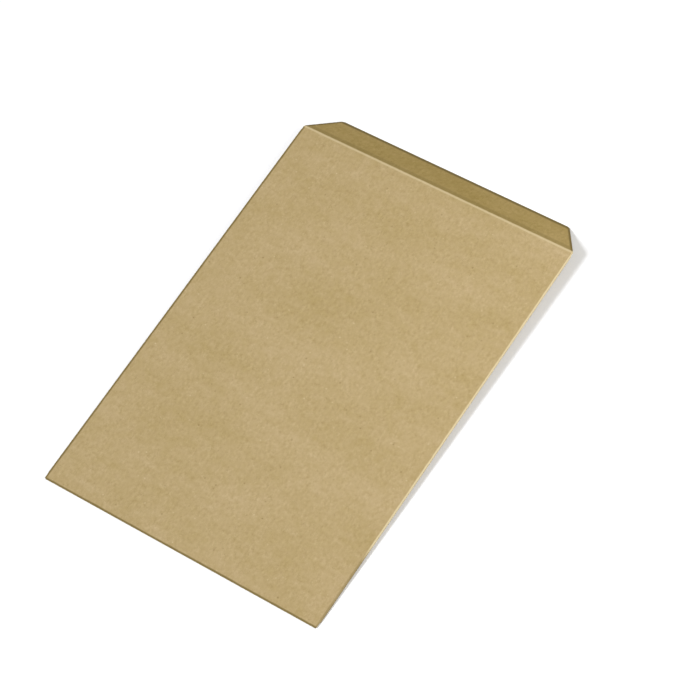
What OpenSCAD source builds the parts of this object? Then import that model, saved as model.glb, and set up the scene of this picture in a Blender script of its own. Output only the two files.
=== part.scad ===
// Pocket envelope of brown kraft paper, self-sealing, with its closing flap bent down behind it.
// One sheet is folded and glued into the pocket, and two strips of dry gum lie on it.
// It rests as it would on a table: on its bottom fold and on the edge of its flap.

/* [Pocket] */
// Width of the closed pocket, across the throat
pocket_width = 229; // [150:1:330]
// Height of the pocket, from bottom fold to top fold
pocket_height = 324; // [160:1:460]
// Thickness of the paper
paper = 0.13; // [0.1:0.01:0.2]
// Clear depth between the front panel and the side flaps
pocket_depth = 0.5; // [0.4:0.05:1.2]

/* [Closing flap] */
// Length of the flap, from the top fold to its edge
flap_length = 24; // [24:0.5:45]
// How much narrower each side of the flap is at its edge than at the fold
flap_taper = 17; // [6:0.5:24]
// Gap between the pocket's side and the flap's side, at the fold
flap_shoulder = 1; // [0.6:0.1:4]
// Radius of the flap's two corners
flap_corner_radius = 5; // [1:0.5:10]
// Angle that the flap is bent down from the front panel, in degrees
flap_bend = 29; // [15:1:60]
// Inside radius of the crease at the top fold
crease_radius = 0.35; // [0.2:0.05:1]

/* [Side flaps] */
// Width of the glued flaps inside the back panel, from the side folds
side_flap_width = 20; // [10:0.5:30]
// Height at which the side flaps start, above the bottom fold
side_flap_start = 5; // [2:0.5:10]
// Rise of the slanted bottom end of each side flap
side_flap_mitre = 14; // [4:0.5:24]
// Rise of the slanted top end of each side flap
side_flap_taper = 6; // [2:0.5:14]

/* [Back panel] */
// Gap between the side folds and the back panel's glued edges
back_inset = 1.2; // [1:0.1:4]
// Gap between the top fold and the back panel's free edge
throat_setback = 1.5; // [0.8:0.1:8]
// Cut on the back panel's two throat corners
throat_corner_cut = 2.5; // [0.5:0.1:6]

/* [Gum strips] */
// Width of each gum strip
gum_width = 13; // [6:0.5:13]
// Length of each gum strip
gum_length = 180; // [40:1:190]
// Thickness of the dried gum
gum_thickness = 0.05; // [0.03:0.01:0.1]
// Gap between the top fold and the near edge of each gum strip
gum_from_fold = 10; // [8.5:0.5:10]

/* [Hidden] */

// Levels below the front panel's outer face
side_flap_inner = -paper - pocket_depth;
back_inner = side_flap_inner - paper;
back_outer = back_inner - paper;

// Outer radii of the folds, from the levels that each one joins
side_radius = -back_inner / 2;
bottom_radius = -back_outer / 2;
crease_outer_radius = crease_radius + paper;

// Where the flat panels end and the folds begin
left_x = side_radius;
right_x = pocket_width - side_radius;
crease_run = crease_outer_radius * tan(flap_bend / 2);
front_top = pocket_height - crease_run;
throat_y = pocket_height - throat_setback;
side_top = throat_y - throat_corner_cut;

// The crease stops just short of the flap's sides, where the pressed fibres end
crease_relief = paper;

// Straight steps along each round corner of the flap
corner_steps = 16;

// The table meets the bottom fold and the lower corner of the flap's edge
flap_tip_y = pocket_height + flap_length * cos(flap_bend);
flap_tip_z = -flap_length * sin(flap_bend);
foot_y = flap_tip_y - paper * sin(flap_bend);
foot_z = flap_tip_z - paper * cos(flap_bend);
foot_run = foot_y - bottom_radius;
foot_drop = foot_z + bottom_radius;
rest_tilt = asin(-bottom_radius / norm([foot_run, foot_drop])) - atan2(foot_drop, foot_run);
rest_lift = -(foot_y * sin(rest_tilt) + foot_z * cos(rest_tilt));
rest_low_y = bottom_radius * (cos(rest_tilt) + sin(rest_tilt) - 1);
rest_high_y = flap_tip_y * cos(rest_tilt) - flap_tip_z * sin(rest_tilt);

paper_colour = [0.74, 0.66, 0.47];
gum_colour = [0.68, 0.58, 0.38];

// Lays the envelope, modelled with its front panel level, down on the table.
module at_rest() {
    translate([-pocket_width / 2, -(rest_low_y + rest_high_y) / 2, rest_lift])
        rotate([rest_tilt, 0, 0])
            children();
}

// Places what is drawn in the flap's own plane, with y measured from the end of the crease.
module in_flap_plane() {
    translate([0, front_top, -crease_outer_radius])
        rotate([-flap_bend, 0, 0])
            translate([0, 0, crease_outer_radius])
                children();
}

// A sector of a disc about the origin, from one angle to another, less than a full turn apart.
module sector(radius, from_angle, to_angle) {
    reach = 2 * radius;
    middle = (from_angle + to_angle) / 2;
    intersection() {
        circle(r = radius, $fn = 64);
        polygon([
            [0, 0],
            [reach * cos(from_angle), reach * sin(from_angle)],
            [reach * cos(middle), reach * sin(middle)],
            [reach * cos(to_angle), reach * sin(to_angle)]
        ]);
    }
}

// Profile of a bent sheet: a sector with all but the paper's thickness taken out of it.
module bent_profile(outer_radius, from_angle, to_angle) {
    difference() {
        sector(outer_radius, from_angle, to_angle);
        circle(r = outer_radius - paper, $fn = 64);
    }
}

// A flat piece of paper of the given outline, with its outer face at level top.
module panel(top) {
    translate([0, 0, top - paper])
        linear_extrude(height = paper)
            children();
}

// The half-round fold along one side of the pocket, from one angle to another.
module side_fold(x, from_angle, to_angle) {
    translate([x, side_top, -side_radius])
        rotate([90, 0, 0])
            linear_extrude(height = side_top - side_flap_start)
                bent_profile(side_radius, from_angle, to_angle);
}

// The half-round fold along the bottom of the pocket, as wide as the back panel.
module bottom_fold() {
    translate([back_inset, bottom_radius, -bottom_radius])
        rotate([90, 0, 90])
            linear_extrude(height = pocket_width - 2 * back_inset)
                bent_profile(bottom_radius, 90, 270);
}

// The crease at the top fold, which turns the sheet from the front panel into the flap.
module top_crease() {
    side = flap_shoulder + crease_relief;
    translate([side, front_top, -crease_outer_radius])
        rotate([90, 0, 90])
            linear_extrude(height = pocket_width - 2 * side)
                bent_profile(crease_outer_radius, 90 - flap_bend, 90);
}

// Outline of the front panel, with its two upper corners cut back to the flap's shoulders.
module front_outline() {
    cut_y = front_top - flap_shoulder;
    polygon([
        [left_x, bottom_radius],
        [right_x, bottom_radius],
        [right_x, cut_y],
        [pocket_width - flap_shoulder, front_top],
        [flap_shoulder, front_top],
        [left_x, cut_y]
    ]);
}

// Points along a round corner about a centre, from one angle to another.
function round_corner(centre, radius, from_angle, to_angle) = [
    for (i = [0 : corner_steps])
        let (a = from_angle + (to_angle - from_angle) * i / corner_steps)
            centre + radius * [cos(a), sin(a)]
];

// Outline of the flap beyond the crease: its sides slope in, and round corners end them.
module flap_outline() {
    side_angle = atan2(flap_length, flap_taper);
    corner_x = flap_shoulder + flap_taper + flap_corner_radius * tan(side_angle / 2);
    corner_y = flap_length - crease_run - flap_corner_radius;
    left = round_corner([corner_x, corner_y], flap_corner_radius, 90 + side_angle, 90);
    right = round_corner([pocket_width - corner_x, corner_y], flap_corner_radius, 90, 90 - side_angle);
    polygon(concat([[flap_shoulder, 0]], left, right, [[pocket_width - flap_shoulder, 0]]));
}

// Outline of the back panel, folded up from the bottom and glued to the side flaps.
module back_outline() {
    edge = pocket_width - back_inset;
    polygon([
        [back_inset, bottom_radius],
        [edge, bottom_radius],
        [edge, side_top],
        [edge - throat_corner_cut, throat_y],
        [back_inset + throat_corner_cut, throat_y],
        [back_inset, side_top]
    ]);
}

// Outline of the left side flap, with slanted ends.
module side_flap_outline() {
    polygon([
        [left_x, side_flap_start],
        [side_flap_width, side_flap_start + side_flap_mitre],
        [side_flap_width, side_top - side_flap_taper],
        [left_x, side_top]
    ]);
}

// The folded and glued sheet: one piece of paper.
module folded_sheet() {
    color(paper_colour)
        at_rest()
            union() {
                panel(0) front_outline();
                side_fold(left_x, 90, 270);
                side_fold(right_x, -90, 90);
                panel(side_flap_inner) side_flap_outline();
                panel(side_flap_inner)
                    translate([pocket_width, 0])
                        mirror([1, 0])
                            side_flap_outline();
                panel(back_inner) back_outline();
                bottom_fold();
                top_crease();
                in_flap_plane() panel(0) flap_outline();
            }
}

// A strip of dried gum, from near_y to near_y plus its width.
module gum_strip(near_y) {
    translate([(pocket_width - gum_length) / 2, near_y, 0])
        cube([gum_length, gum_width, gum_thickness]);
}

module flap_gum_strip() {
    color(gum_colour)
        at_rest()
            in_flap_plane()
                translate([0, 0, -paper - gum_thickness])
                    gum_strip(gum_from_fold - crease_run);
}

module back_gum_strip() {
    color(gum_colour)
        at_rest()
            translate([0, 0, back_outer - gum_thickness])
                gum_strip(pocket_height - gum_from_fold - gum_width);
}

folded_sheet();
flap_gum_strip();
back_gum_strip();
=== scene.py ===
"""Looks for a brown kraft pocket envelope: one folded and glued sheet, and two coats of dry gum."""

from math import asin, atan2, cos, hypot, pi, radians, sin, tan

import bpy
import numpy as np
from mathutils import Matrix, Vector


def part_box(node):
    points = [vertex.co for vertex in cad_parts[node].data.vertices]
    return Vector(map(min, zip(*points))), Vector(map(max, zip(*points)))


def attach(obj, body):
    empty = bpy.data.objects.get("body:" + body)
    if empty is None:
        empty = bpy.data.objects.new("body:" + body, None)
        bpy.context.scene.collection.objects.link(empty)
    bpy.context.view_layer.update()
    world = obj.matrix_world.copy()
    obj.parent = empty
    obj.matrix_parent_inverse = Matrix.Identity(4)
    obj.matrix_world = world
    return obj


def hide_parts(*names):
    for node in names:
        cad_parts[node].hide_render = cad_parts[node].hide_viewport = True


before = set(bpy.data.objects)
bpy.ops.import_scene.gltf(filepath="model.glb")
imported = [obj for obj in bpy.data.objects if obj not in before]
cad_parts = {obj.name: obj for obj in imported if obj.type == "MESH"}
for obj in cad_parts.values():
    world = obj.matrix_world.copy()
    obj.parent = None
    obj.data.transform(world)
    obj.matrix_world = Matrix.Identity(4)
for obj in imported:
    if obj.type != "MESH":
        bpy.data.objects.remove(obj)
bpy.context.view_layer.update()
SHEET_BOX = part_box("folded_sheet")

bl_info = {
    "name": "Kraft pocket envelope",
    "version": (1, 0, 0),
    "blender": (4, 5, 0),
    "location": "3D View > Sidebar > Envelope",
    "description": "Folds and dresses a brown kraft pocket envelope with dry gum strips",
    "category": "Object",
}

# What all the lengths, and all the colours, that a user can change have in common.
LENGTH = {"subtype": "DISTANCE", "unit": "LENGTH"}
COLOUR = {"size": 3, "min": 0.0, "max": 1.0, "subtype": "COLOR"}

# Parts of the long strip, in their order on the flat blank.
FLAP, CREASE, FRONT, BOTTOM_FOLD, BACK = range(5)

# A quad's finish, which picks its material from the piece's list.
OUTER, INNER, CUT_EDGE = range(3)

# How finely the meshes are cut up: places along each arc or line, both of its ends counted.
ARC_PLACES = 15
ACROSS_PLACES = 97
FLAP_PLACES = 16
CREASE_PLACES = 8
SHOULDER_PLACES = 4
FRONT_PLACES = 111
BACK_PLACES = 130
THROAT_PLACES = 5
SIDE_PLACES = 120
SIDE_FLAP_PLACES = 20
GUM_LENGTH_PLACES = 301
GUM_WIDTH_PLACES = 27

# Waves of the two panels: radians per metre across and along, and the ripple's seed.
FRONT_WAVES = (70.0, 55.0, 0.4)
BACK_WAVES = (60.0, 50.0, 2.1)

# How high the side flaps show through the front panel, the share of their thickness by which the
# back panel sinks between them, and the width of the soft step along their edges.
FLAP_TRACE = 0.00003
SUNK_SHARE = 0.8
SUNK_STEP = 0.0012

# Length along the sides in which the front panel narrows to the bottom fold.
BOTTOM_CORNER = 0.0001

# How far the inner face's places on the blank are moved away from the outer face's, in metres, so
# that the two faces don't show the same fibres.
INNER_SHIFT = 0.31

# A gum coat stays a margin inside the gum's sizes, and its ends and sides wander by a little less.
GUM_MARGIN = 0.0004
GUM_END_WANDER = 0.00035
GUM_SIDE_WANDER = 0.0003

# Colours of fibres, and of the painted shade and painted highlight lines along the folds and edges, as
# shares of the paper's own colour.
DARK_FIBRE = (0.58, 0.53, 0.38)
PALE_FIBRE = (1.33, 1.43, 1.74)
# Painted shade along the folds and edges, partly pressed fibres.
PRESSED_AND_SHADE_LINE = (0.38, 0.36, 0.20)
# Painted highlight along the crease, partly fibres cracked by the fold, and along the right side fold.
WEAR_AND_HIGHLIGHT_LINE = (1.53, 1.70, 2.10)

# Painted shade: shares by which the single layer of the flap is darkened and yellowed, partly for the
# light it loses into the dark gap under it, on the sheet's outer and inner face; the inner face's is
# none.
OUTER_FLAP_SHADE = (0.937, 0.901, 0.629)
INNER_FLAP_SHADE = (1.0, 1.0, 1.0)

# Strength of the room's light, where the background itself shows as 1.
ROOM_LIGHT = 0.24

# Half the length of the floor's sides, in metres.
FLOOR_REACH = 12.0


class PocketSizes(bpy.types.PropertyGroup):
    """Sizes of the folded sheet, the same as the solid model's, and of its waves and its sag."""

    width: bpy.props.FloatProperty(
        name="Width",
        description="Width of the closed pocket",
        default=SHEET_BOX[1][0] - SHEET_BOX[0][0],
        **LENGTH,
    )
    height: bpy.props.FloatProperty(
        name="Height",
        description="From the bottom fold to the top fold",
        default=0.324,
        **LENGTH,
    )
    paper: bpy.props.FloatProperty(
        name="Paper",
        description="Thickness of the paper",
        default=0.00013,
        precision=5,
        **LENGTH,
    )
    depth: bpy.props.FloatProperty(
        name="Pocket depth",
        description="Clear depth between the front panel and the side flaps",
        default=0.0005,
        precision=5,
        **LENGTH,
    )
    flap_length: bpy.props.FloatProperty(
        name="Flap length",
        description="From the top fold to the flap's edge",
        default=0.024,
        **LENGTH,
    )
    flap_taper: bpy.props.FloatProperty(
        name="Flap taper",
        description="How much narrower each side of the flap is at its edge",
        default=0.017,
        **LENGTH,
    )
    flap_shoulder: bpy.props.FloatProperty(
        name="Flap shoulder",
        description="Gap between the pocket's side and the flap's side, at the fold",
        default=0.001,
        **LENGTH,
    )
    flap_corner: bpy.props.FloatProperty(
        name="Flap corner",
        description="Radius of the flap's two corners",
        default=0.005,
        **LENGTH,
    )
    flap_bend: bpy.props.FloatProperty(
        name="Flap bend",
        description="How far the flap is bent down from the front panel",
        default=radians(29),
        subtype="ANGLE",
        unit="ROTATION",
    )
    crease: bpy.props.FloatProperty(
        name="Crease",
        description="Inside radius of the crease at the top fold",
        default=0.00035,
        precision=5,
        **LENGTH,
    )
    side_flap: bpy.props.FloatProperty(
        name="Side flap",
        description="Width of the glued flaps inside the back panel",
        default=0.020,
        **LENGTH,
    )
    side_start: bpy.props.FloatProperty(
        name="Side flap start",
        description="Height at which the side flaps start",
        default=0.005,
        **LENGTH,
    )
    side_mitre: bpy.props.FloatProperty(
        name="Side flap mitre",
        description="Rise of each side flap's slanted bottom end",
        default=0.014,
        **LENGTH,
    )
    side_taper: bpy.props.FloatProperty(
        name="Side flap taper",
        description="Rise of each side flap's slanted top end",
        default=0.006,
        **LENGTH,
    )
    back_inset: bpy.props.FloatProperty(
        name="Back inset",
        description="Gap between the side folds and the back panel's glued edges",
        default=0.0012,
        precision=4,
        **LENGTH,
    )
    throat: bpy.props.FloatProperty(
        name="Throat setback",
        description="Gap between the top fold and the back panel's free edge",
        default=0.0015,
        precision=4,
        **LENGTH,
    )
    throat_cut: bpy.props.FloatProperty(
        name="Throat corner cut",
        description="Cut on the back panel's two throat corners",
        default=0.0025,
        precision=4,
        **LENGTH,
    )
    wave: bpy.props.FloatProperty(
        name="Wave",
        description="Height of the soft waves in the two panels",
        default=0.00009,
        precision=5,
        **LENGTH,
    )
    throat_sag: bpy.props.FloatProperty(
        name="Throat sag",
        description="How far the back panel hangs away from the front, mid-way along the throat",
        default=0.0007,
        precision=5,
        **LENGTH,
    )


class GumSizes(bpy.types.PropertyGroup):
    """Sizes of the two coats of dry gum."""

    length: bpy.props.FloatProperty(
        name="Length",
        description="Length of each coat across the envelope",
        default=0.180,
        **LENGTH,
    )
    width: bpy.props.FloatProperty(
        name="Width",
        description="Width of each coat",
        default=0.013,
        **LENGTH,
    )
    thickness: bpy.props.FloatProperty(
        name="Thickness",
        description="Thickness of the dried gum",
        default=0.00005,
        precision=5,
        **LENGTH,
    )
    from_fold: bpy.props.FloatProperty(
        name="From fold",
        description="Gap between the top fold and the near edge of each coat",
        default=0.010,
        **LENGTH,
    )


class EnvelopeLook(bpy.types.PropertyGroup):
    """Colours of the paper, the gum and the floor, as linear values."""

    kraft: bpy.props.FloatVectorProperty(
        name="Kraft",
        description="Outer face of the paper",
        default=(0.498, 0.370, 0.175),
        **COLOUR,
    )
    inside: bpy.props.FloatVectorProperty(
        name="Inside",
        description="Inner face of the paper, with its grey privacy tint",
        default=(0.372, 0.306, 0.144),
        **COLOUR,
    )
    cut_edge: bpy.props.FloatVectorProperty(
        name="Cut edge",
        description="Bare fibres where the sheet was die-cut",
        default=(0.60, 0.49, 0.28),
        **COLOUR,
    )
    gum: bpy.props.FloatVectorProperty(
        name="Gum film",
        description="Tint that a thick film of dry latex gum gives to the paper under it",
        default=(0.83, 0.79, 0.67),
        **COLOUR,
    )
    floor: bpy.props.FloatVectorProperty(
        name="Floor",
        description="Pale floor under the envelope",
        default=(0.90, 0.90, 0.90),
        **COLOUR,
    )


def smooth(start, end, v):
    """Smooth step from 0 at start to 1 at end: 3 t squared less 2 t cubed, t the clipped share."""
    t = np.clip((v - start) / (end - start), 0.0, 1.0)
    return t * t * (3.0 - 2.0 * t)


def ripple(u, v, seed):
    """Sum of five sines of u and v with turned axes and unlike wavelengths, about -1 to 1."""
    total = np.zeros(np.broadcast(u, v).shape)
    for i in range(5):
        turn = 2.4 * i + seed
        pace = 1.0 + 0.37 * i
        total = total + np.sin(pace * (u * cos(turn) + v * sin(turn)) + 1.7 * i + seed)
    return total / 3.2


class Fold:
    """The folded sheet's levels, radii and resting tilt, worked out from its sizes.

    It lies on the round of the bottom fold and on the foot of the flap, which is the lower corner
    of the flap's edge. The tilt is the turn about X that brings both down to the table.
    """

    def __init__(self, sizes):
        self.s = sizes
        p = sizes.paper
        self.side_radius = (2 * p + sizes.depth) / 2
        self.bottom_radius = (3 * p + sizes.depth) / 2
        self.crease_radius = sizes.crease + p
        self.crease_run = self.crease_radius * tan(sizes.flap_bend / 2)
        self.front_top = sizes.height - self.crease_run
        self.throat_y = sizes.height - sizes.throat
        self.side_top = self.throat_y - sizes.throat_cut
        self.back_level = -(3 * p + sizes.depth)
        bend = sizes.flap_bend
        r = self.bottom_radius
        tip_y = sizes.height + sizes.flap_length * cos(bend)
        tip_z = -sizes.flap_length * sin(bend)
        foot_y = tip_y - p * sin(bend)
        foot_z = tip_z - p * cos(bend)
        run = foot_y - r
        drop = foot_z + r
        self.tilt = asin(-r / hypot(run, drop)) - atan2(drop, run)
        self.lift = -(foot_y * sin(self.tilt) + foot_z * cos(self.tilt))
        low = r * (cos(self.tilt) + sin(self.tilt) - 1)
        high = tip_y * cos(self.tilt) - tip_z * sin(self.tilt)
        self.middle = (low + high) / 2

    def rest(self, x, y, z):
        """Lays points of the level envelope on the table: turned by the tilt about X, then moved."""
        c = cos(self.tilt)
        s = sin(self.tilt)
        x, y, z = np.broadcast_arrays(x, y, z)
        return np.stack([x, y * c - z * s - self.middle, y * s + z * c + self.lift], axis=-1)

    def over_side_flap(self, x, y):
        """1 over the side flaps and 0 between them, with a soft step of 1.2 mm along their edges.

        The step follows the smallest distance to the inner edge and to the two slanted ends. Square
        to the steeper lower end, that is about 0.8 of the height above it.
        """
        s = self.s
        reach = s.width / 2 - np.abs(x)
        run = s.side_flap - self.side_radius
        share = (reach - self.side_radius) / run
        low = s.side_start + s.side_mitre * share
        high = self.side_top - s.side_taper * share
        inside = np.minimum(s.side_flap - reach, np.minimum((y - low) * 0.8, high - y))
        return smooth(-SUNK_STEP / 2, SUNK_STEP / 2, inside)

    def waves(self, x, y, pattern):
        """Soft slanting waves of a panel: the wave's height times a ripple of the scaled place."""
        across, along, seed = pattern
        return self.s.wave * ripple(x * across, y * along, seed)

    def front_lift(self, x, y):
        """Height of the front panel above its plane: soft slanting waves and a trace of the side flaps.

        The waves fade out from 22 to 2 mm from the panel's edges, and the trace in the last 4 mm, so
        the folds stay straight.
        """
        s = self.s
        edge = np.minimum(np.minimum(s.width / 2 - np.abs(x), y), self.front_top - y)
        waves = self.waves(x, y, FRONT_WAVES) * smooth(0.002, 0.022, edge)
        return waves + FLAP_TRACE * self.over_side_flap(x, y) * smooth(0.0, 0.004, edge)

    def back_drop(self, x, y):
        """How far the back panel lies off its plane, away from the front.

        It sinks between the side flaps by most of their thickness, except at the bottom fold, and
        hangs a little open along the middle of the throat: a squared cosine across, rising over the
        upper 45 per cent. It has soft waves that fade out from 45 to 20 mm from its edges.
        """
        s = self.s
        across = np.clip(np.abs(x) / (s.width / 2 - s.side_flap), 0.0, 1.0)
        hang = s.throat_sag * np.cos(across * pi / 2) ** 2 * smooth(s.height * 0.55, s.height, y)
        sunk = SUNK_SHARE * s.paper * (1.0 - self.over_side_flap(x, y)) * smooth(0.0, 0.006, y)
        edge = np.minimum(np.minimum(s.width / 2 - np.abs(x), y), s.height - y)
        return hang - sunk + self.waves(x, y, BACK_WAVES) * smooth(0.020, 0.045, edge)


def wrap_rows(fold):
    """Rows of the long strip: flap, crease, front, bottom fold and back, as one path in Y and Z.

    Each row holds the middle of the paper's thickness, the outward normal, the half-width there and
    the length along the flat blank. Straight parts are lines, the crease and the fold are arcs.
    """
    s = fold.s
    p = s.paper
    half = s.width / 2
    bend = s.flap_bend
    rows = []

    def add_rows(part, y, z, ny, nz, w):
        """Adds one part's rows. A value that is the same in all of them is spread over them."""
        values = np.broadcast_arrays(y, z, ny, nz, w, part)
        rows.append(dict(zip(("y", "z", "ny", "nz", "w", "part"), values)))

    slope = atan2(s.flap_length, s.flap_taper)
    corner_x = half - s.flap_shoulder - s.flap_taper - s.flap_corner * tan(slope / 2)
    corner_v = s.flap_length - s.flap_corner
    turn = np.linspace(pi / 2, pi / 2 - slope, ARC_PLACES)
    round_v = corner_v + s.flap_corner * np.sin(turn)
    round_w = corner_x + s.flap_corner * np.cos(turn)
    straight_v = np.linspace(round_v[-1], fold.crease_run, FLAP_PLACES)[1:]
    straight_w = half - s.flap_shoulder - s.flap_taper * straight_v / s.flap_length
    v = np.concatenate([round_v, straight_v])
    w = np.concatenate([round_w, straight_w])
    y = s.height + v * cos(bend) - sin(bend) * p / 2
    z = -v * sin(bend) - cos(bend) * p / 2
    add_rows(FLAP, y, z, sin(bend), cos(bend), w)

    a = np.linspace(pi / 2 - bend, pi / 2, CREASE_PLACES)[1:]
    r = fold.crease_radius - p / 2
    y = fold.front_top + r * np.cos(a)
    z = -fold.crease_radius + r * np.sin(a)
    add_rows(CREASE, y, z, np.cos(a), np.sin(a), half - s.flap_shoulder)

    cut_y = fold.front_top - s.flap_shoulder
    full = half - fold.side_radius
    corner_y = fold.bottom_radius + BOTTOM_CORNER
    y = np.concatenate([
        np.linspace(fold.front_top, cut_y, SHOULDER_PLACES)[1:],
        np.linspace(cut_y, corner_y, FRONT_PLACES)[1:],
        [fold.bottom_radius],
    ])
    w = np.interp(
        y,
        [fold.bottom_radius, corner_y, cut_y, fold.front_top],
        [half - s.back_inset, full, full, half - s.flap_shoulder],
    )
    add_rows(FRONT, y, -p / 2, 0.0, 1.0, w)

    a = np.linspace(pi / 2, 3 * pi / 2, ARC_PLACES)[1:]
    r = fold.bottom_radius - p / 2
    y = fold.bottom_radius + r * np.cos(a)
    z = -fold.bottom_radius + r * np.sin(a)
    add_rows(BOTTOM_FOLD, y, z, np.cos(a), np.sin(a), half - s.back_inset)

    y = np.concatenate([
        np.linspace(fold.bottom_radius, fold.side_top, BACK_PLACES)[1:],
        np.linspace(fold.side_top, fold.throat_y, THROAT_PLACES)[1:],
    ])
    edge = half - s.back_inset
    w = np.interp(y, [fold.side_top, fold.throat_y], [edge, edge - s.throat_cut])
    add_rows(BACK, y, fold.back_level + p / 2, 0.0, -1.0, w)

    path = {k: np.concatenate([row[k] for row in rows]) for k in rows[0]}
    step = np.hypot(np.diff(path["y"]), np.diff(path["z"]))
    path["along"] = np.concatenate([[0.0], np.cumsum(step)])
    return path


def across_shares(count):
    """Shares from -1 to 1 across a row, closer together towards both ends.

    A fifth of each is even, and the rest is the sine of an even angle.
    """
    even = np.linspace(-1.0, 1.0, count)
    return 0.2 * even + 0.8 * np.sin(even * pi / 2)


def wrap_strip(fold):
    """The long strip's outer and inner faces: each row carried across X, half the paper either way."""
    s = fold.s
    path = {k: v[:, None] for k, v in wrap_rows(fold).items()}
    x = across_shares(ACROSS_PLACES)[None, :] * path["w"]
    y = path["y"]
    off = np.where(path["part"] == FRONT, fold.front_lift(x, y), 0.0)
    off = off + np.where(path["part"] == BACK, fold.back_drop(x, y), 0.0)
    faces = []
    for side in (0.5, -0.5):
        out = off + side * s.paper
        faces.append(fold.rest(x, y + path["ny"] * out, path["z"] + path["nz"] * out))
    along = np.broadcast_to(path["along"], x.shape)
    return faces[0], faces[1], x, along


def side_strip(fold, sign):
    """One side fold and side flap: a half round and a line in X and Z, carried along the side.

    The rows run from the front panel round to the flap's inner edge, and each row's ends slant in.
    """
    s = fold.s
    p = s.paper
    half = s.width / 2
    a = np.linspace(pi / 2, 3 * pi / 2, ARC_PLACES)
    r = fold.side_radius - p / 2
    reach = np.concatenate([
        fold.side_radius + r * np.cos(a),
        np.linspace(fold.side_radius, s.side_flap, SIDE_FLAP_PLACES)[1:],
    ])
    flat = np.ones(SIDE_FLAP_PLACES - 1)
    z = np.concatenate([-fold.side_radius + r * np.sin(a), flat * (-2 * fold.side_radius + p / 2)])
    nx = np.concatenate([np.cos(a), np.zeros_like(flat)])
    nz = np.concatenate([np.sin(a), -flat])
    share = np.concatenate([np.zeros_like(a), np.linspace(0.0, 1.0, SIDE_FLAP_PLACES)[1:]])
    glued = share[:, None] > 0.0
    low = s.side_start + s.side_mitre * share
    high = fold.side_top - s.side_taper * share
    t = np.linspace(0.0, 1.0, SIDE_PLACES)[None, :]
    y = low[:, None] + (high - low)[:, None] * t
    drop = np.where(glued, fold.back_drop(sign * (half - reach[:, None]), y), 0.0)
    drop = drop * smooth(0.0, 0.1, share)[:, None]
    step = np.hypot(np.diff(reach), np.diff(z))
    along = np.concatenate([[0.0], np.cumsum(step)])[:, None] + np.zeros_like(y)
    faces = []
    for side in (0.5, -0.5):
        out = side * p
        px = sign * (half - (reach + nx * out))[:, None]
        pz = (z + nz * out)[:, None] - drop
        faces.append(fold.rest(px, y, pz))
    path = wrap_rows(fold)
    top = np.argmax(path["part"] == FRONT)
    level = path["along"][top] + path["y"][top] - y
    return faces[0], faces[1], sign * (half - fold.side_radius + along), level


def shell_faces(rows, cols):
    """Quads of a closed thin shell on two grids of rows by cols: outer, inner, and the four edges.

    Returns the quads and each quad's finish.
    """
    grid = np.arange(rows * cols).reshape(rows, cols)
    other = grid + rows * cols

    def sheet(g):
        return np.stack([g[:-1, :-1], g[:-1, 1:], g[1:, 1:], g[1:, :-1]], axis=-1).reshape(-1, 4)

    rim = np.concatenate([grid[0, :-1], grid[:-1, -1], grid[-1, :0:-1], grid[:0:-1, 0]])
    rim_other = rim + rows * cols
    after = np.roll(rim, -1)
    after_other = np.roll(rim_other, -1)
    walls = np.stack([after, rim, rim_other, after_other], axis=-1)
    quads = np.concatenate([sheet(grid), sheet(other)[:, ::-1], walls])
    count = (rows - 1) * (cols - 1)
    finish = np.repeat([OUTER, INNER, CUT_EDGE], [count, count, len(walls)])
    return quads, finish.astype(np.int32)


def volume(points, quads):
    """Signed volume inside the quads: the sum of corner, cross and dot products over six."""
    a, b, c, d = (points[quads[:, i]] for i in range(4))
    first = np.einsum("ij,ij->i", a, np.cross(b, c))
    second = np.einsum("ij,ij->i", a, np.cross(c, d))
    return (first.sum() + second.sum()) / 6.0


def make_piece(name, shells, materials):
    """One mesh object from thin shells, each a pair of grids and its place on the flat blank.

    The attribute blank holds the place in the unfolded sheet, in metres, and the face it is on, so
    that grain and fibres run on through the folds as they do in real paper.
    """
    parts = []
    count = 0
    for outer, inner, u, v in shells:
        points = np.concatenate([outer.reshape(-1, 3), inner.reshape(-1, 3)])
        quads, finish = shell_faces(*outer.shape[:2])
        if volume(points, quads) < 0.0:
            quads = quads[:, ::-1]
        place = np.stack(np.broadcast_arrays(u, v, 0.0), axis=-1).reshape(-1, 3)
        blank = np.concatenate([place, place + np.array([0.0, 0.0, INNER_SHIFT])])
        parts.append((points, quads + count, finish, blank))
        count += len(points)
    points, quads, finish, blank = (np.concatenate(values) for values in zip(*parts))

    mesh = bpy.data.meshes.new(name)
    mesh.vertices.add(len(points))
    mesh.vertices.foreach_set("co", points.astype(np.float32).ravel())
    mesh.loops.add(quads.size)
    mesh.loops.foreach_set("vertex_index", quads.astype(np.int32).ravel())
    mesh.polygons.add(len(quads))
    mesh.polygons.foreach_set("loop_start", np.arange(0, quads.size, 4, dtype=np.int32))
    mesh.update(calc_edges=True)
    mesh.polygons.foreach_set("use_smooth", np.ones(len(quads), dtype=bool))
    for material in materials:
        mesh.materials.append(material)
    mesh.polygons.foreach_set("material_index", np.minimum(finish, len(materials) - 1))
    layer = mesh.attributes.new("blank", "FLOAT_VECTOR", "POINT")
    layer.data.foreach_set("vector", blank.astype(np.float32).ravel())
    mesh.set_sharp_from_angle(angle=radians(40))
    mesh.validate()
    piece = bpy.data.objects.new(name, mesh)
    bpy.context.scene.collection.objects.link(piece)
    return piece


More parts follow.
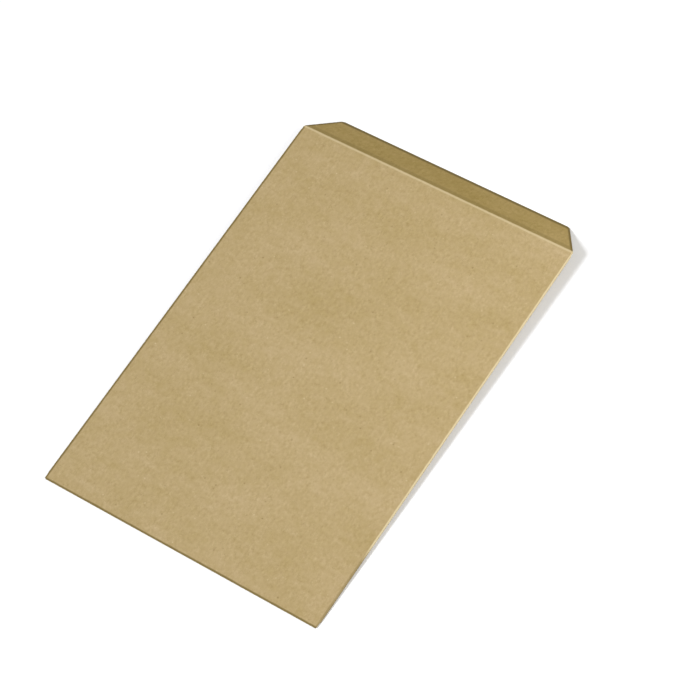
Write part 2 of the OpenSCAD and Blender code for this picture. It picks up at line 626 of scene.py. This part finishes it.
class Nodes:
    """Short helpers for building the node tree of a material or of the world."""

    def __init__(self, owner, output="ShaderNodeOutputMaterial"):
        self.owner = owner
        owner.use_nodes = True
        self.tree = owner.node_tree
        self.tree.nodes.clear()
        self.out = self.add(output)

    def add(self, kind, **values):
        """New node of a kind, with its settings."""
        node = self.tree.nodes.new(kind)
        for key, value in values.items():
            setattr(node, key, value)
        return node

    def link(self, a, b):
        """Links an output socket to an input socket."""
        self.tree.links.new(a, b)

    def feed(self, socket, value):
        """Sets a socket to a number or colour, or links it to another node's socket."""
        if isinstance(value, bpy.types.NodeSocket):
            self.link(value, socket)
        else:
            socket.default_value = value

    def blank(self, turn=0.0, stretch=(1.0, 1.0, 1.0)):
        """Place on the flat blank, in metres, turned about the face and stretched."""
        source = self.add("ShaderNodeAttribute", attribute_name="blank")
        mapping = self.add("ShaderNodeMapping")
        mapping.inputs["Rotation"].default_value = (0.0, 0.0, turn)
        mapping.inputs["Scale"].default_value = stretch
        self.link(source.outputs["Vector"], mapping.inputs["Vector"])
        return mapping.outputs["Vector"]

    def noise(self, place, scale, detail=2.0, rough=0.5, distortion=0.0):
        """Noise at a place, from 0 to 1, with its middle at a half."""
        node = self.add("ShaderNodeTexNoise")
        self.link(place, node.inputs["Vector"])
        node.inputs["Scale"].default_value = scale
        node.inputs["Detail"].default_value = detail
        node.inputs["Roughness"].default_value = rough
        node.inputs["Distortion"].default_value = distortion
        return node.outputs["Fac"]

    def math(self, operation, a, b=0.0, c=0.0):
        """Result of one operation on up to three numbers or sockets."""
        node = self.add("ShaderNodeMath", operation=operation)
        self.feed(node.inputs[0], a)
        self.feed(node.inputs[1], b)
        self.feed(node.inputs[2], c)
        return node.outputs[0]

    def span(self, value, low, high, to_low=0.0, to_high=1.0):
        """Maps a value from one range to another, clipped at both ends, with soft ends."""
        node = self.add("ShaderNodeMapRange", interpolation_type="SMOOTHSTEP")
        self.feed(node.inputs["Value"], value)
        node.inputs["From Min"].default_value = low
        node.inputs["From Max"].default_value = high
        node.inputs["To Min"].default_value = to_low
        node.inputs["To Max"].default_value = to_high
        return node.outputs["Result"]

    def tint(self, factor, a, b, blend="MIX"):
        """Mixes two colours by a factor."""
        node = self.add("ShaderNodeMix", data_type="RGBA", blend_type=blend)
        self.feed(node.inputs["Factor"], factor)
        self.feed(node.inputs[6], a)
        self.feed(node.inputs[7], b)
        return node.outputs[2]

    def shade(self, colour, offset, spread=(1.0, 1.0, 1.0)):
        """Multiplies each channel of a colour by one plus the offset times that channel's spread."""
        factors = self.add("ShaderNodeCombineColor")
        for i in range(3):
            self.link(self.math("MULTIPLY_ADD", offset, spread[i], 1.0), factors.inputs[i])
        return self.tint(1.0, colour, factors.outputs[0], "MULTIPLY")

    def swing(self, value, size):
        """A noise's swing about its middle, times a size."""
        return self.math("MULTIPLY", self.math("SUBTRACT", value, 0.5), size)

    def total(self, *values):
        """Sum of several values."""
        result = values[0]
        for value in values[1:]:
            result = self.math("ADD", result, value)
        return result

    def most(self, *values):
        """Largest of several values."""
        result = values[0]
        for value in values[1:]:
            result = self.math("MAXIMUM", result, value)
        return result

    def hairs(self, place, scale, width, distortion, patch_scale):
        """Short curly hairs: thin lines where a twisted noise crosses its middle, kept in patches."""
        field = self.noise(place, scale, distortion=distortion)
        off = self.math("ABSOLUTE", self.math("SUBTRACT", field, 0.5))
        line = self.span(off, 0.0, width, 1.0, 0.0)
        patch = self.span(self.noise(place, patch_scale, detail=1.0), 0.50, 0.56)
        return self.math("MULTIPLY", line, patch)

    def flecks(self, place, scale, size, share):
        """Small specks: discs round the points of a cell pattern, kept in a share of the cells."""
        cells = self.add("ShaderNodeTexVoronoi", feature="F1")
        self.link(place, cells.inputs["Vector"])
        cells.inputs["Scale"].default_value = scale
        disc = self.span(cells.outputs["Distance"], size * 0.5, size, 1.0, 0.0)
        parts = self.add("ShaderNodeSeparateColor")
        self.link(cells.outputs["Color"], parts.inputs[0])
        kept = self.math("LESS_THAN", parts.outputs[0], share)
        strength = self.math("MULTIPLY", disc, parts.outputs[1])
        return self.math("MULTIPLY", strength, kept)

    def finish(self, colour, roughness, specular, height, distance):
        """Principled surface, with a bump of a height's pattern by a distance in metres."""
        shader = self.add("ShaderNodeBsdfPrincipled")
        self.feed(shader.inputs["Base Color"], colour)
        self.feed(shader.inputs["Roughness"], roughness)
        shader.inputs["Specular IOR Level"].default_value = specular
        bump = self.add("ShaderNodeBump")
        bump.inputs["Distance"].default_value = distance
        self.link(height, bump.inputs["Height"])
        self.link(bump.outputs["Normal"], shader.inputs["Normal"])
        self.link(shader.outputs["BSDF"], self.out.inputs["Surface"])
        return self.owner

    def background_rays(self):
        """1 for the rays that show the background: the camera's own, and those by gloss or glass."""
        path = self.add("ShaderNodeLightPath").outputs
        return self.most(path["Is Camera Ray"], path["Is Glossy Ray"], path["Is Transmission Ray"])


def fold_lines(n, fold):
    """Painted shade and painted highlight along the folds and cut edges, as three factors.

    Each line is a soft band about a distance on the flat blank: across it for the side folds and the
    flap's slanted sides, along it for the flap's edge, the crease and the bottom fold. Dark lines are
    painted shade, partly pressed fibres, and include a band just under the crease on the flap. Pale
    lines are painted highlight, along the crease partly fibres that the fold has cracked. The front's
    right side has a painted highlight along its upper four fifths, and is half as dark as its left side
    below. The back's sides are fainter. The third factor is 1 on the flap.
    """
    s = fold.s
    path = wrap_rows(fold)
    crease = float(path["along"][path["part"] == CREASE].mean())
    bottom = float(path["along"][path["part"] == BOTTOM_FOLD].mean())
    parts = n.add("ShaderNodeSeparateXYZ")
    n.link(n.blank(), parts.inputs[0])
    across = n.math("ABSOLUTE", parts.outputs[0])
    along = parts.outputs[1]
    wander = n.swing(n.noise(n.blank(), scale=120.0), 0.0006)

    def band(value, place, core, reach):
        """1 nearer than the core to a place, falling to 0 at the reach, with a wandering middle."""
        off = n.math("ABSOLUTE", n.total(value, wander, -place))
        return n.span(off, core, reach, 1.0, 0.0)

    single = n.math("LESS_THAN", along, crease)
    back = n.math("GREATER_THAN", along, bottom)
    right = n.math("GREATER_THAN", parts.outputs[0], 0.0)
    # On the front's right side the painted shade is halved, and on its upper four fifths a painted
    # highlight takes its place; on the back the painted shade is fainter.
    upper = n.span(along, bottom - 0.22 * s.height, bottom - 0.16 * s.height, 1.0, 0.0)
    highlit_right = n.math("MULTIPLY", upper, right)
    kept = n.total(1.0, n.math("MULTIPLY", right, -0.5), n.math("MULTIPLY", highlit_right, -0.5))
    kept = n.math("MULTIPLY", kept, n.math("MULTIPLY_ADD", back, -0.6, 1.0))
    start = s.width / 2 - s.flap_shoulder - s.flap_taper
    rim = n.math("MULTIPLY_ADD", along, s.flap_taper / s.flap_length, start)
    from_rim = n.math("SUBTRACT", rim, across)

    # Painted shade, partly pressed fibres: dark bands along the side folds, the bottom fold, the flap's
    # edge and slanted sides, and a band under the crease on the flap.
    side = n.math("MULTIPLY", band(across, s.width / 2 - 0.0005, core=0.0006, reach=0.0015), kept)
    low = band(along, bottom - 0.0006, core=0.0005, reach=0.0014)
    edge = band(along, 0.0, core=0.0017, reach=0.0034)
    slant = n.math("MULTIPLY", n.span(from_rim, 0.0012, 0.0026, 1.0, 0.0), single)
    under = n.math("MULTIPLY", band(along, crease - 0.0018, core=0.0010, reach=0.0030), 0.34)
    # Painted highlight: pale bands along the crease, partly fibres cracked by the fold, and along the
    # front's upper right side fold.
    top = n.math("MULTIPLY", band(along, crease + 0.0007, core=0.0004, reach=0.0012), 0.51)
    right_highlight = n.math("MULTIPLY", band(across, s.width / 2 - 0.0003, core=0.0007, reach=0.0013), highlit_right)
    return n.most(side, low, edge, slant, under), n.most(top, right_highlight), single


def tone(colour, shares):
    """A colour times a share for each channel, at most 1, with full alpha."""
    return tuple(min(1.0, c * k) for c, k in zip(colour, shares)) + (1.0,)


def kraft_surface(name, colour, fold, flap_shade, contrast=1.0):
    """Kraft paper: cloudy formation, patchy grain, fibres and bark flecks over one brown.

    Where more fibre lies, the sheet is paler and greyer, so its blue swings more than its red. The flap
    is a single layer over a dark gap: its colour is darkened and yellowed as painted shade, partly for
    the light that it loses into the gap, and its clouds stand out by about half more than those of the
    doubled pocket. Painted shade and painted highlight lie along the folds and edges.
    """
    n = Nodes(bpy.data.materials.new(name))
    pressed_and_shade, wear_and_highlight, single = fold_lines(n, fold)
    place = n.blank()
    machine = n.blank(stretch=(1.1, 0.78, 1.0))
    slanting = n.blank(radians(-38), (0.45, 1.0, 1.0))
    clouds = n.noise(slanting, scale=30.0, detail=3.0, rough=0.6)
    formation = n.noise(place, scale=150.0, detail=3.0, rough=0.6)
    mottle = n.noise(machine, scale=420.0, rough=0.6)
    grain = n.noise(machine, scale=1100.0, detail=3.0, rough=0.65)
    patches = n.span(n.noise(place, scale=110.0), 0.3, 0.7, to_low=0.55, to_high=1.35)
    wide = n.total(n.swing(clouds, 0.29 * contrast), n.swing(formation, 0.22 * contrast))
    wide = n.math("MULTIPLY", wide, n.math("MULTIPLY_ADD", single, 0.55, 1.0))
    fine = n.total(n.swing(mottle, 0.40 * contrast), n.swing(grain, 0.20 * contrast))
    fine = n.math("MULTIPLY", fine, patches)
    base = n.shade((*colour, 1.0), wide, (1.0, 1.1, 2.3))
    base = n.shade(base, fine, (1.0, 1.20, 1.72))

    lengthwise = n.blank(stretch=(1.0, 0.6, 1.0))
    askew = n.blank(0.25, (1.0, 0.55, 1.0))
    dark = n.hairs(lengthwise, scale=300.0, width=0.014, distortion=1.4, patch_scale=260.0)
    pale = n.hairs(askew, scale=380.0, width=0.014, distortion=1.6, patch_scale=240.0)
    bark = n.flecks(place, scale=190.0, size=0.17, share=0.20)
    chaff = n.flecks(n.blank(0.6), scale=200.0, size=0.16, share=0.24)
    for specks, strength, shares in (
        (dark, 0.42, DARK_FIBRE),
        (pale, 0.50, PALE_FIBRE),
        (bark, 0.70, DARK_FIBRE),
        (chaff, 0.75, PALE_FIBRE),
    ):
        base = n.tint(n.math("MULTIPLY", specks, strength * contrast), base, tone(colour, shares))

    # Painted shade: the flap's single layer is darkened and yellowed.
    base = n.tint(single, base, (*flap_shade, 1.0), "MULTIPLY")
    # Painted shade along the folds and edges, partly pressed fibres.
    base = n.tint(n.math("MULTIPLY", pressed_and_shade, 0.90), base, tone(colour, PRESSED_AND_SHADE_LINE))
    # Painted highlight along the crease, partly cracked fibres, and along the right side fold.
    base = n.tint(wear_and_highlight, base, tone(colour, WEAR_AND_HIGHLIGHT_LINE))

    height = n.math("MULTIPLY", formation, 0.8)
    for pattern, share in ((grain, 0.5), (mottle, 0.4), (pale, 0.35), (dark, 0.25)):
        height = n.math("MULTIPLY_ADD", pattern, share, height)
    roughness = n.span(formation, 0.3, 0.7, to_low=0.66, to_high=0.80)
    return n.finish(base, roughness, specular=0.30, height=height, distance=0.00004)


def cut_edge_surface(name, colour):
    """Die-cut edge: pale torn fibres, dull and slightly furry."""
    n = Nodes(bpy.data.materials.new(name))
    fibres = n.noise(n.blank(), scale=2400.0, detail=3.0, rough=0.7)
    base = n.shade((*colour, 1.0), n.swing(fibres, 0.5))
    return n.finish(base, 0.9, specular=0.2, height=fibres, distance=0.00005)


def gum_surface(name, film, paper_colour, dense_from):
    """Dry latex gum: a film that tints the paper, in patches, with a soft sheen where it is thick.

    The patches thicken from the given level of a curled noise, so a low level makes a dense coat.
    """
    n = Nodes(bpy.data.materials.new(name))
    place = n.blank()
    patches = n.noise(place, scale=170.0, detail=4.0, rough=0.62, distortion=0.6)
    specks = n.noise(place, scale=900.0, rough=0.6)
    thick = n.span(patches, dense_from, dense_from + 0.24)
    thin_film = tuple(0.7 + 0.3 * f for f in film)
    base = n.tint(thick, tone(paper_colour, thin_film), tone(paper_colour, film))
    base = n.shade(base, n.swing(specks, 0.36), (1.0, 1.1, 1.5))
    roughness = n.math("MULTIPLY_ADD", thick, -0.24, 0.68)
    height = n.math("MULTIPLY_ADD", specks, 0.25, patches)
    return n.finish(base, roughness, specular=0.45, height=height, distance=0.00010)


def gum_coat(fold, gum, on_flap):
    """Outer and inner faces of one coat: the strip's rectangle, with ragged rims and uneven height.

    The rim wanders by a few tenths of a millimetre, and the height is the gum's thickness times a
    ripple, falling to a fifth of itself at the rim. It lies on the paper's own curved surface.
    """
    s = fold.s
    a = np.linspace(-1.0, 1.0, GUM_LENGTH_PLACES)[None, :]
    b = np.linspace(0.0, 1.0, GUM_WIDTH_PLACES)[:, None]
    end = gum.length / 2 - GUM_MARGIN
    x = a * (end + GUM_END_WANDER * ripple(b * 24.0, 0.0, 0.3 + on_flap) * np.abs(a) ** 30)
    lower = GUM_MARGIN + GUM_SIDE_WANDER * ripple(x * 700.0, x * 90.0, 1.1 + on_flap)
    upper = gum.width - GUM_MARGIN + GUM_SIDE_WANDER * ripple(x * 640.0, x * 70.0, 3.7 + on_flap)
    v = gum.from_fold + lower + (upper - lower) * b
    rim = np.minimum(smooth(0.0, 0.04, b), smooth(0.0, 0.04, 1.0 - b))
    rim = rim * smooth(0.0, 0.006, 1.0 - np.abs(a))
    body = 0.75 + 0.25 * ripple(x * 900.0, v * 900.0, 5.0 + on_flap)
    height = gum.thickness * (0.2 + 0.8 * rim * body)
    if on_flap:
        c = cos(s.flap_bend)
        d = sin(s.flap_bend)
        y = s.height + v * c
        z = -v * d
        below = s.paper
        outer = fold.rest(x, y - d * (below + height), z - c * (below + height))
        inner = fold.rest(x, y - d * below, z - c * below)
    else:
        y = s.height - v
        level = fold.back_level - fold.back_drop(x, y)
        outer = fold.rest(x, y, level - height)
        inner = fold.rest(x, y, level)
    return outer, inner, x, v


class ENVELOPE_OT_fold_sheet(bpy.types.Operator):
    """Builds the folded and glued sheet of kraft paper"""

    bl_idname = "envelope.fold_sheet"
    bl_label = "Fold the sheet"

    def execute(self, context):
        scene = context.scene
        fold = Fold(scene.pocket_sizes)
        look = scene.envelope_look
        materials = [
            kraft_surface("kraft_outside", look.kraft, fold, OUTER_FLAP_SHADE),
            kraft_surface("kraft_inside", look.inside, fold, INNER_FLAP_SHADE, contrast=0.8),
            cut_edge_surface("kraft_cut_edge", look.cut_edge),
        ]
        shells = [wrap_strip(fold), side_strip(fold, 1.0), side_strip(fold, -1.0)]
        piece = make_piece("kraft_sheet", shells, materials)
        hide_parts("folded_sheet")
        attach(piece, "root")
        return {"FINISHED"}


class ENVELOPE_OT_coat_gum(bpy.types.Operator):
    """Lays the two coats of dry gum on the flap and on the back panel"""

    bl_idname = "envelope.coat_gum"
    bl_label = "Coat the gum"

    def execute(self, context):
        scene = context.scene
        fold = Fold(scene.pocket_sizes)
        look = scene.envelope_look
        for name, node, on_flap, paper_colour, dense_from in (
            ("flap_gum_coat", "flap_gum_strip", True, look.inside, 0.26),
            ("back_gum_coat", "back_gum_strip", False, look.kraft, 0.40),
        ):
            material = gum_surface(name + "_latex", look.gum, paper_colour, dense_from)
            piece = make_piece(name, [gum_coat(fold, scene.gum_sizes, on_flap)], [material])
            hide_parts(node)
            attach(piece, "root")
        return {"FINISHED"}


class ENVELOPE_OT_set_stage(bpy.types.Operator):
    """Sets the pale floor, the soft lights and the camera"""

    bl_idname = "envelope.set_stage"
    bl_label = "Set the stage"

    def execute(self, context):
        scene = context.scene
        floor_mesh = bpy.data.meshes.new("floor")
        r = FLOOR_REACH
        floor_mesh.from_pydata([(-r, -r, 0), (r, -r, 0), (r, r, 0), (-r, r, 0)], [], [(0, 1, 2, 3)])
        floor = bpy.data.objects.new("floor", floor_mesh)
        scene.collection.objects.link(floor)
        floor_mesh.materials.append(self.floor_surface(scene.envelope_look.floor))

        n = Nodes(bpy.data.worlds.new("soft_room"), "ShaderNodeOutputWorld")
        scene.world = n.owner
        shown = n.background_rays()
        sky = n.add("ShaderNodeBackground")
        n.link(n.tint(shown, (1.05, 0.99, 0.87, 1.0), (1.0, 1.0, 1.0, 1.0)), sky.inputs["Color"])
        n.link(n.math("MULTIPLY_ADD", shown, 1.0 - ROOM_LIGHT, ROOM_LIGHT), sky.inputs["Strength"])
        n.link(sky.outputs["Background"], n.out.inputs["Surface"])

        self.lamp(
            "window",
            toward=(-0.35, -0.62, 0.70),
            distance=8.0,
            size=2.4,
            power=528.0,
            colour=(0.967, 1.0, 1.075),
        )
        self.lamp(
            "side_light",
            toward=(0.36, 0.14, 0.40),
            distance=0.58,
            size=0.3,
            power=0.85,
            colour=(1.0, 1.0, 1.0),
        )

        # The camera was fitted to the corners of the front panel and of the flap in the photograph.
        camera_data = bpy.data.cameras.new("camera")
        camera_data.sensor_width = 36.0
        camera_data.lens = 150.377
        camera_data.clip_start = 0.05
        camera_data.clip_end = 60.0
        camera = bpy.data.objects.new("camera", camera_data)
        camera.location = (0.8095, -0.6955, 1.7167)
        camera.rotation_euler = (radians(30.731), radians(8.730), radians(33.867))
        scene.collection.objects.link(camera)
        scene.camera = camera
        scene.view_settings.view_transform = "Standard"
        return {"FINISHED"}

    @staticmethod
    def lamp(name, toward, distance, size, power, colour):
        """Square area lamp at a distance in one direction from the middle, facing the middle."""
        data = bpy.data.lights.new(name, "AREA")
        data.shape = "SQUARE"
        data.size = size
        data.energy = power
        data.color = colour
        lamp = bpy.data.objects.new(name, data)
        bpy.context.scene.collection.objects.link(lamp)
        lamp.visible_camera = False
        toward = np.array(toward) / np.linalg.norm(toward)
        lamp.location = tuple(toward * distance)
        lamp.rotation_euler = (
            atan2(hypot(toward[0], toward[1]), toward[2]),
            0.0,
            atan2(toward[1], toward[0]) + pi / 2,
        )

    @staticmethod
    def floor_surface(colour):
        """Matt floor that keeps the shadow, lifted to white where it is seen, and clear from below.

        It is lifted more far away, where the lamps no longer reach, so that it meets a white sky.
        """
        n = Nodes(bpy.data.materials.new("pale_floor"))
        matt = n.add("ShaderNodeBsdfDiffuse")
        matt.inputs["Color"].default_value = (*colour, 1.0)
        glow = n.add("ShaderNodeEmission")
        away = n.add("ShaderNodeVectorMath", operation="LENGTH")
        n.link(n.add("ShaderNodeTexCoord").outputs["Object"], away.inputs[0])
        lift = n.span(away.outputs["Value"], low=0.4, high=2.4, to_low=0.26, to_high=1.0)
        lift = n.math("MULTIPLY", n.background_rays(), lift)
        n.link(lift, glow.inputs["Strength"])
        both = n.add("ShaderNodeAddShader")
        n.link(matt.outputs[0], both.inputs[0])
        n.link(glow.outputs[0], both.inputs[1])
        clear = n.add("ShaderNodeBsdfTransparent")
        side = n.add("ShaderNodeNewGeometry")
        pick = n.add("ShaderNodeMixShader")
        n.link(side.outputs["Backfacing"], pick.inputs[0])
        n.link(both.outputs[0], pick.inputs[1])
        n.link(clear.outputs[0], pick.inputs[2])
        n.link(pick.outputs[0], n.out.inputs["Surface"])
        return n.owner


class ENVELOPE_PT_panel(bpy.types.Panel):
    """Sidebar panel that lists the envelope's sizes and colours, and the buttons for its three steps"""

    bl_idname = "ENVELOPE_PT_panel"
    bl_label = "Kraft envelope"
    bl_space_type = "VIEW_3D"
    bl_region_type = "UI"
    bl_category = "Envelope"

    def draw(self, context):
        layout = self.layout
        scene = context.scene
        for group in (scene.pocket_sizes, scene.gum_sizes, scene.envelope_look):
            box = layout.box()
            for key in group.__annotations__:
                box.prop(group, key)
        layout.operator("envelope.fold_sheet")
        layout.operator("envelope.coat_gum")
        layout.operator("envelope.set_stage")


CLASSES = (
    PocketSizes,
    GumSizes,
    EnvelopeLook,
    ENVELOPE_OT_fold_sheet,
    ENVELOPE_OT_coat_gum,
    ENVELOPE_OT_set_stage,
    ENVELOPE_PT_panel,
)


def register():
    for cls in CLASSES:
        bpy.utils.register_class(cls)
    bpy.types.Scene.pocket_sizes = bpy.props.PointerProperty(type=PocketSizes)
    bpy.types.Scene.gum_sizes = bpy.props.PointerProperty(type=GumSizes)
    bpy.types.Scene.envelope_look = bpy.props.PointerProperty(type=EnvelopeLook)


def unregister():
    del bpy.types.Scene.envelope_look
    del bpy.types.Scene.gum_sizes
    del bpy.types.Scene.pocket_sizes
    for cls in reversed(CLASSES):
        bpy.utils.unregister_class(cls)


def main():
    """Makes the pieces and the stage."""
    register()
    bpy.ops.envelope.fold_sheet()
    bpy.ops.envelope.coat_gum()
    bpy.ops.envelope.set_stage()


if __name__ == "__main__":
    main()
